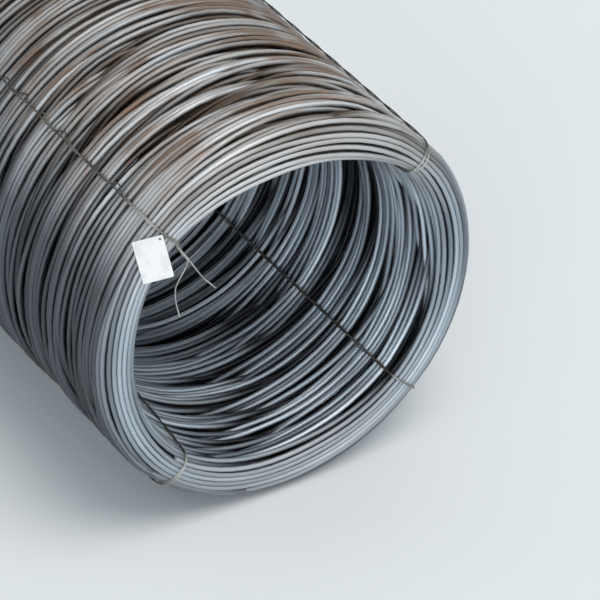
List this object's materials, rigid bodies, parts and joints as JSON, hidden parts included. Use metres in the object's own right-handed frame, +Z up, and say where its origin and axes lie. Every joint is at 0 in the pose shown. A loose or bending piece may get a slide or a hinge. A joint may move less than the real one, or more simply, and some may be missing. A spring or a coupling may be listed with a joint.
{
  "type": "coil of wire rod",
  "caption": "Lying ring-shaped coil of hot-rolled steel wire rod with a wide bore, held by wire ties round its wall and marked with a bare tag.",
  "frame": {"origin": "middle of the bore, half-way along the coil, on its axis", "axes": "+Y along the coil's axis to its far end, +Z up with the coil lying on its side, +X to the right when facing the near end"},
  "size_m": [1.1999, 1.6703, 1.1999],
  "materials": {
    "hot_rolled_rod": "blue-grey mill scale with traces of rust",
    "tie_wire": "annealed tie wire, grey-green",
    "tag_plate": "matt white, bare"
  },
  "bodies": {
    "root": {"rod_coil": "hot_rolled_rod", "tie_upper_left": "tie_wire", "tie_upper_right": "tie_wire", "tie_lower_right": "tie_wire", "tie_lower_left": "tie_wire", "tag": "tag_plate"}
  },
  "joints": []
}
